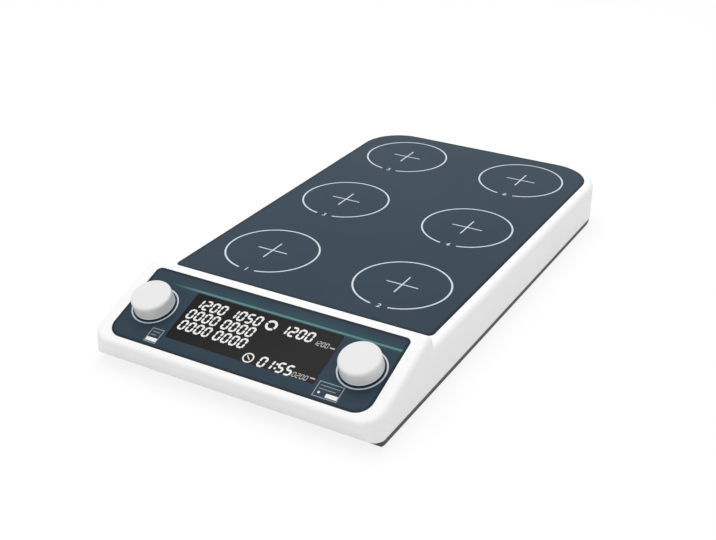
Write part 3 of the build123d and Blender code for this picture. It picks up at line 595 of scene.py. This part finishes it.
# Icons of the display: middles across and down the sheet, and the clock's hands across and uphill
icon_across = 7.7 * mm
arrow_down = 23.8 * mm
arrow_r = 5 * mm
arrow_stroke = 2 * mm
arrow_arcs = ((radians(-35), radians(150)), (radians(165), radians(310)))
clock_down = 57.2 * mm
clock_r = 4.6 * mm
clock_stroke = 1.1 * mm
clock_hands = ((-1.6 * mm, 1.8 * mm), (1.9 * mm, -1.3 * mm))
hand_stroke = 0.8 * mm
unit_left = 61 * mm
unit_right = 65 * mm
unit_rows = (28 * mm, 57.4 * mm)
unit_stroke = 1.2 * mm


def make_icons():
    """Two bent strokes beside the set speed, a clock beside the set time and two short dim bars."""
    middle = console_point(icon_across, arrow_down)
    arrow = [band(middle, arrow_r, arrow_stroke, start, end, arrow_steps) for start, end in arrow_arcs]
    printed("turning_icon", arrow, console_place, outward, "lit")
    middle = console_point(icon_across, clock_down)
    clock = whole_ring(middle, clock_r, clock_stroke)
    clock += [bar(middle, (middle[0] + u, middle[1] + w), hand_stroke) for u, w in clock_hands]
    printed("clock_icon", clock, console_place, outward, "lit")
    bars = [bar(console_point(unit_left, v), console_point(unit_right, v), unit_stroke) for v in unit_rows]
    printed("unit_bars", bars, console_place, outward, "dim")


# Legends in the lower corners of the sheet: left and right side of the box, and left end of its white bar
legend_sides = {"left": (-80.2 * mm, -69.2 * mm, -79.4 * mm), "right": (69.2 * mm, 89.6 * mm, 79.3 * mm)}
legend_top = 57.2 * mm
legend_foot = 70.4 * mm
legend_stroke = 0.7 * mm
legend_bar_down = 67.6 * mm
legend_bar_height = 3.4 * mm
legend_bar_r = 0.5 * mm
legend_bar_inset = 0.8 * mm
legend_dot = (73.2 * mm, 66.6 * mm)
legend_dot_r = 1.1 * mm
legend_dot_stroke = 1.05 * mm

# Marks in a legend: distance from its left side, and from its right side and the sheet's top for each
legend_mark_inset = 2.2 * mm
legend_marks = ((2.2 * mm, 60.2 * mm), (4.4 * mm, 63.2 * mm))
legend_mark_stroke = 0.55 * mm


def make_legends():
    """Outlined boxes with small marks and a white bar in the lower corners of the sheet, and a dot."""
    for name, (left, right, bar_left) in legend_sides.items():
        box = box_lines(left, right, legend_top, legend_foot, legend_stroke)
        printed(f"legend_{name}_frame", box, console_place, outward, "faint_print")
        marks = []
        for inset, down in legend_marks:
            start = console_point(left + legend_mark_inset, down)
            marks.append(bar(start, console_point(right - inset, down), legend_mark_stroke))
        printed(f"legend_{name}_marks", marks, console_place, outward, "faint_print")
        bar_right = right - legend_bar_inset
        middle = console_point((bar_left + bar_right) / 2, legend_bar_down)
        bars = [rounded_box(middle, bar_right - bar_left, legend_bar_height, legend_bar_r)]
        printed(f"legend_{name}_bar", bars, console_place, outward, "bright_print")
    dot = whole_ring(console_point(*legend_dot), legend_dot_r, legend_dot_stroke)
    printed("legend_dot", dot, console_place, outward, "print")


knob_ring_r = 19 * mm
knob_ring_stroke = 1.2 * mm


def make_knob_rings():
    """A pale ring printed round each knob, on the middle line of the sheet."""
    for side in ("left", "right"):
        low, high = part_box(f"knob_{side}")
        ring = whole_ring(((low.x + high.x) / 2, 0), knob_ring_r, knob_ring_stroke)
        printed(f"knob_ring_{side}", ring, console_place, outward, "print")


# The rocker's two faces rise from a valley that lies outside its pivot; its marks are up or down from there
rocker_slope = radians(12)
rocker_valley = 1.8 * mm
mark_stroke = 0.5 * mm
on_mark_up = (-3 * mm, -5.6 * mm)
off_mark_up = 4.3 * mm
off_mark_r = 1.4 * mm


def make_rocker_marks():
    """The plain on and off marks of the rocker: a stroke on its pressed half and a ring on the other."""
    joint = next(j for j in frame["record"]["behaviour"]["joints"] if j["name"] == "power_rocker_tip")
    pivot = Vector(joint["pos_m"])

    def rocker_place(u, w):
        """A point on the face of the rocker at rest, across and upwards from its valley."""
        face = rocker_valley + abs(w) * tan(rocker_slope)
        rise = w * cos(rocker_slope) - face * sin(rocker_slope)
        out = w * sin(rocker_slope) + face * cos(rocker_slope)
        return pivot + Vector((-u, out, rise))

    stroke = [bar(*((0, w) for w in on_mark_up), mark_stroke)]
    printed("rocker_on_mark", stroke, rocker_place, Vector((0, 1, 0)), "bright_print", "rocker")
    facing = Vector((0, cos(2 * rocker_slope), -sin(2 * rocker_slope)))
    ring = whole_ring((0, off_mark_up), off_mark_r, mark_stroke)
    printed("rocker_off_mark", ring, rocker_place, facing, "bright_print", "rocker")


# Camera, fitted to the six printed circles; its lens and sensor are in millimetres
view_azimuth = radians(29.477)
view_elevation = radians(27.363)
view_roll = radians(0.188)
view_place = Vector((0.42277, -0.78520, 0.46893))
focal_length = 56.65
sensor_width = 36
nearest_seen = 10 * mm


def make_camera():
    """The camera at the photograph's place and angle."""
    flat = cos(view_elevation)
    back = Vector((sin(view_azimuth) * flat, -cos(view_azimuth) * flat, sin(view_elevation)))
    level = Vector((cos(view_azimuth), sin(view_azimuth), 0))
    upright = back.cross(level)
    right = level * cos(view_roll) + upright * sin(view_roll)
    up = upright * cos(view_roll) - level * sin(view_roll)
    camera = bpy.data.objects.new("camera", bpy.data.cameras.new("camera"))
    camera.data.lens = focal_length
    camera.data.sensor_width = sensor_width
    camera.data.clip_start = nearest_seen
    camera.matrix_world = Matrix.Translation(view_place) @ Matrix((right, up, back)).transposed().to_4x4()
    bpy.context.scene.collection.objects.link(camera)
    bpy.context.scene.camera = camera


# Light and floor; the floor's glow is the share of plain white in what is seen of it
white = (1, 1, 1, 1)
sky_strength = 0.74
lamp_place = Vector((-0.3, 0.2, 1.6))
lamp_size = 1.6
lamp_watts = 14
floor_reach = 8.0
floor_colour = (0.92, 0.92, 0.92, 1)
floor_glow = 0.86


def seen_rays(tree):
    """1 for rays from the camera, in reflections and through glass, otherwise 0."""
    path = tree.nodes.new("ShaderNodeLightPath")
    total = path.outputs["Is Camera Ray"]
    for name in ("Is Glossy Ray", "Is Transmission Ray"):
        both = tree.nodes.new("ShaderNodeMath")
        both.operation = "MAXIMUM"
        tree.links.new(total, both.inputs[0])
        tree.links.new(path.outputs[name], both.inputs[1])
        total = both.outputs[0]
    return total


def show_mix(tree, share, first, second, output):
    """Two shaders mixed by a share, as the output of a material or the world."""
    choose = tree.nodes.new("ShaderNodeMixShader")
    tree.links.new(share, choose.inputs[0])
    tree.links.new(first.outputs[0], choose.inputs[1])
    tree.links.new(second.outputs[0], choose.inputs[2])
    tree.links.new(choose.outputs[0], tree.nodes.new(output).inputs["Surface"])


def make_world():
    """Even soft light, seen as plain white."""
    world = bpy.data.worlds.new("studio")
    bpy.context.scene.world = world
    world.use_nodes = True
    tree = world.node_tree
    tree.nodes.clear()
    seen = tree.nodes.new("ShaderNodeBackground")
    seen.inputs["Color"].default_value = white
    light = tree.nodes.new("ShaderNodeBackground")
    light.inputs["Color"].default_value = white
    light.inputs["Strength"].default_value = sky_strength
    show_mix(tree, seen_rays(tree), light, seen, "ShaderNodeOutputWorld")


def make_lamp():
    """A large soft lamp high over the object, aimed at the table under its middle."""
    lamp = bpy.data.lights.new("top_lamp", "AREA")
    lamp.shape = "DISK"
    lamp.size = lamp_size
    lamp.energy = lamp_watts
    piece = bpy.data.objects.new("top_lamp", lamp)
    piece.location = lamp_place
    piece.rotation_mode = "QUATERNION"
    piece.rotation_quaternion = (-lamp_place).to_track_quat("-Z", "Y")
    bpy.context.scene.collection.objects.link(piece)


def make_floor():
    """A white floor that shows a faint shadow of the object."""
    mesh = bpy.data.meshes.new("floor")
    square = [(x * floor_reach, y * floor_reach, 0) for x, y in ((-1, -1), (1, -1), (1, 1), (-1, 1))]
    mesh.from_pydata(square, [], [(0, 1, 2, 3)])
    floor = bpy.data.objects.new("floor", mesh)
    bpy.context.scene.collection.objects.link(floor)
    material = bpy.data.materials.new("floor_white")
    material.use_nodes = True
    tree = material.node_tree
    tree.nodes.clear()
    matte = tree.nodes.new("ShaderNodeBsdfDiffuse")
    matte.inputs["Color"].default_value = floor_colour
    glow = tree.nodes.new("ShaderNodeEmission")
    share = tree.nodes.new("ShaderNodeMath")
    share.operation = "MULTIPLY"
    share.inputs[1].default_value = floor_glow
    tree.links.new(seen_rays(tree), share.inputs[0])
    show_mix(tree, share.outputs[0], matte, glow, "ShaderNodeOutputMaterial")
    mesh.materials.append(material)


materials = make_materials()
dress_nodes()
make_places()
make_readings()
make_icons()
make_legends()
make_knob_rings()
make_rocker_marks()
make_camera()
make_world()
make_lamp()
make_floor()
bpy.context.scene.view_settings.view_transform = "Standard"
